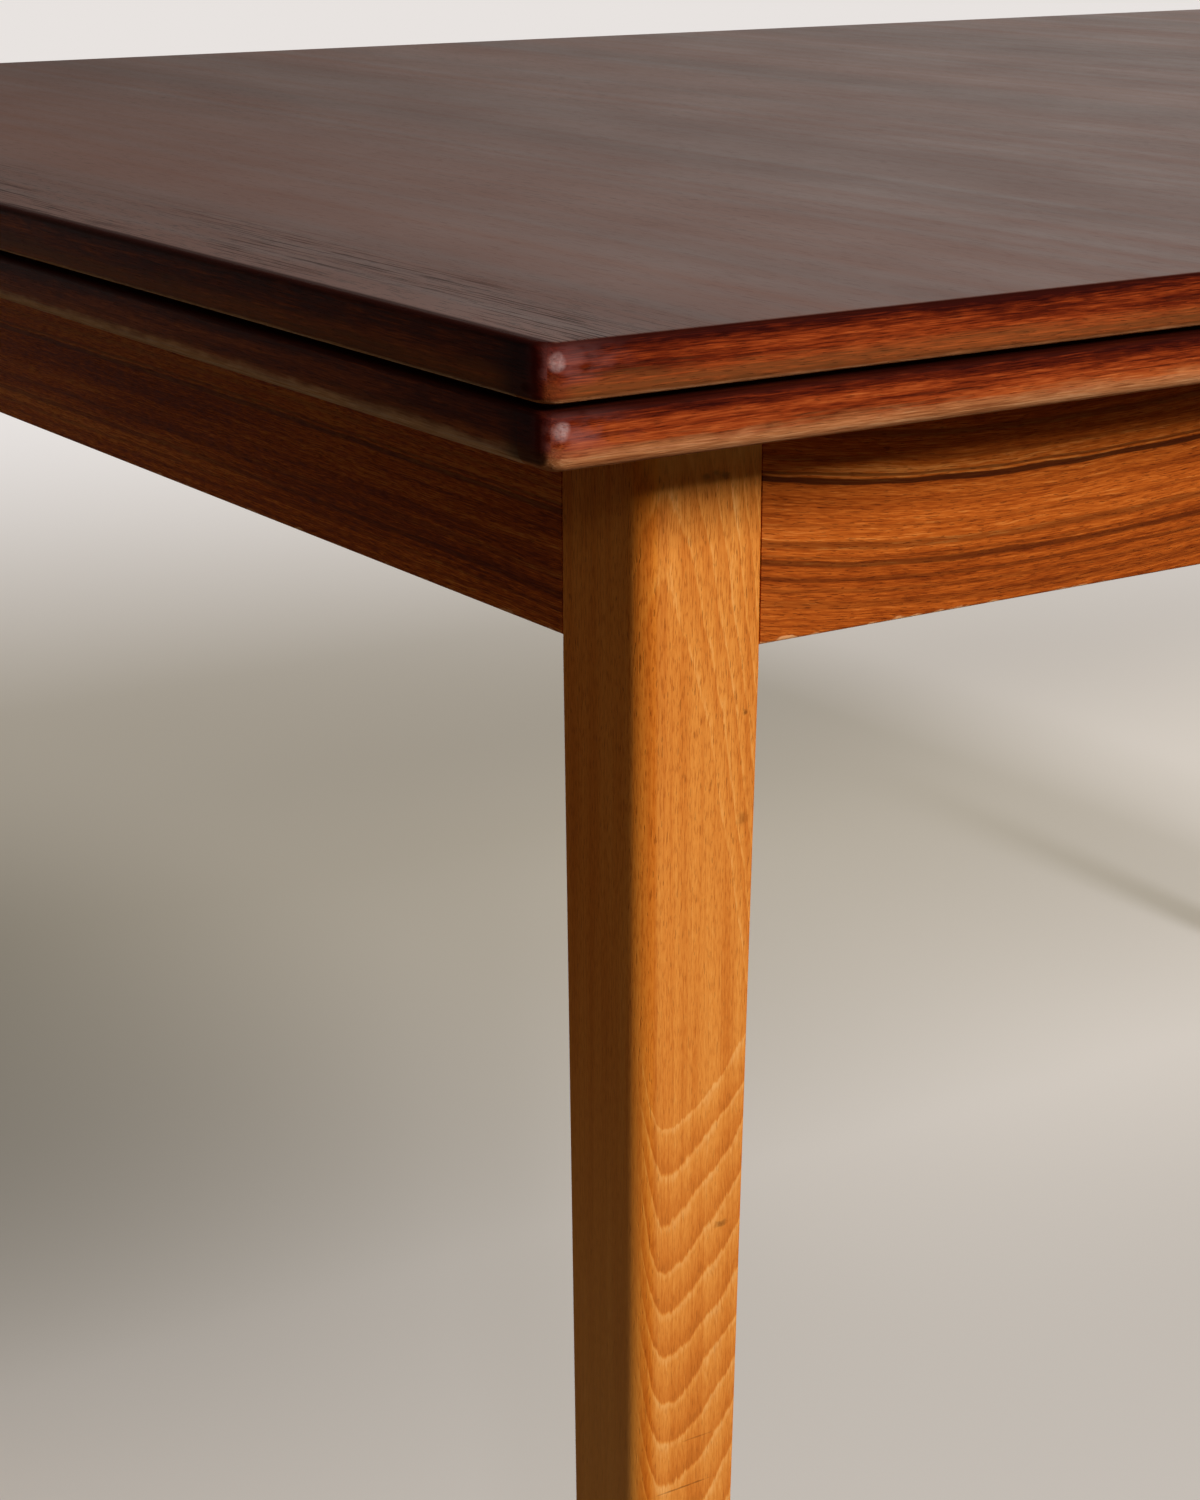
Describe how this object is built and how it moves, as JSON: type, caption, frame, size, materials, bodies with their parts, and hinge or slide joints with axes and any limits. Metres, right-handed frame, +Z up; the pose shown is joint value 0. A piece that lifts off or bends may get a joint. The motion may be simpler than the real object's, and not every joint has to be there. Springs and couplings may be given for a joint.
{
  "type": "extending dining table",
  "caption": "Rectangular draw-leaf dining table: loose main board over two leaves that slide out and up on sloped bearers, on square tapered legs.",
  "frame": {"origin": "on the floor under the middle of the table", "axes": "+X along the table's length, towards the right leaf; +Y across it, from front to back; +Z up"},
  "size_m": [1.35, 0.9, 0.73],
  "materials": {
    "teak_top": "low-sheen oiled teak veneer, dark open pores",
    "teak_lipping": "solid reddish teak, oiled and worn",
    "teak_apron": "teak veneer with dark figure lines, satin",
    "beech_leg": "lacquered honey-coloured beech, satin",
    "beech_inner": "planed beech, unfinished",
    "beech_dowel": "turned beech, waxed",
    "core_board": "blockboard, unfinished",
    "veneer_back": "backing veneer, sealed",
    "zinc_steel": "zinc-plated steel",
    "felt": "dark green felt",
    "glide_plastic": "dark brown moulded glide"
  },
  "bodies": {
    "frame": {"apron_back": "teak_apron", "apron_end_left": "teak_apron", "apron_end_right": "teak_apron", "apron_front": "teak_apron", "centre_board_core": "core_board", "centre_board_lipping_back": "teak_lipping", "centre_board_lipping_front": "teak_lipping", "centre_board_lower_veneer": "veneer_back", "centre_board_screws": "zinc_steel", "centre_board_upper_veneer": "teak_top", "corner_block_back_left": "beech_inner", "corner_block_back_right": "beech_inner", "corner_block_front_left": "beech_inner", "corner_block_front_right": "beech_inner", "cross_rail_left": "beech_inner", "cross_rail_right": "beech_inner", "foot_glides": "glide_plastic", "leg_back_left": "beech_leg", "leg_back_right": "beech_leg", "leg_bolt_nuts": "zinc_steel", "leg_bolt_washers": "zinc_steel", "leg_bolts": "zinc_steel", "leg_front_left": "beech_leg", "leg_front_right": "beech_leg"},
    "leaf_left": {"leaf_left_bearer_back": "beech_inner", "leaf_left_bearer_front": "beech_inner", "leaf_left_bearer_screws": "zinc_steel", "leaf_left_core": "core_board", "leaf_left_lipping_back": "teak_lipping", "leaf_left_lipping_end": "teak_lipping", "leaf_left_lipping_front": "teak_lipping", "leaf_left_lipping_inner": "teak_lipping", "leaf_left_lower_veneer": "veneer_back", "leaf_left_stop_pegs": "beech_dowel", "leaf_left_upper_veneer": "teak_top"},
    "leaf_right": {"leaf_right_bearer_back": "beech_inner", "leaf_right_bearer_front": "beech_inner", "leaf_right_bearer_screws": "zinc_steel", "leaf_right_core": "core_board", "leaf_right_lipping_back": "teak_lipping", "leaf_right_lipping_end": "teak_lipping", "leaf_right_lipping_front": "teak_lipping", "leaf_right_lipping_inner": "teak_lipping", "leaf_right_lower_veneer": "veneer_back", "leaf_right_stop_pegs": "beech_dowel", "leaf_right_upper_veneer": "teak_top"},
    "felt_pads": {"top_felt_pads": "felt"},
    "main_top": {"guide_peg_back": "beech_dowel", "guide_peg_front": "beech_dowel", "guide_peg_screws": "zinc_steel", "guide_peg_washers": "zinc_steel", "main_top_core": "core_board", "main_top_lipping_back": "teak_lipping", "main_top_lipping_front": "teak_lipping", "main_top_lipping_left": "teak_lipping", "main_top_lipping_right": "teak_lipping", "main_top_lower_veneer": "veneer_back", "main_top_upper_veneer": "teak_top"}
  },
  "joints": [
    {"name": "leaf_left_slide", "type": "slide", "parent": "frame", "child": "leaf_left", "axis": [-0.9994, 0, 0.0339], "range_m": [0, 0.5018]},
    {"name": "leaf_right_slide", "type": "slide", "parent": "frame", "child": "leaf_right", "axis": [0.9994, 0, 0.0339], "range_m": [0, 0.5018]},
    {"name": "top_left_end_lift", "type": "hinge", "parent": "frame", "child": "felt_pads", "pos_m": [0.675, 0, 0.715], "axis": [0, 1, 0], "range_deg": [0, 0.72]},
    {"name": "top_right_end_lift", "type": "hinge", "parent": "felt_pads", "child": "main_top", "pos_m": [-0.675, 0, 0.715], "axis": [0, -1, 0], "range_deg": [0, 0.72]}
  ],
  "couplings": [
    {"joint": "top_left_end_lift", "follows": "leaf_left_slide", "rad_per_m": 0.025},
    {"joint": "top_right_end_lift", "follows": "leaf_right_slide", "rad_per_m": 0.025}
  ]
}
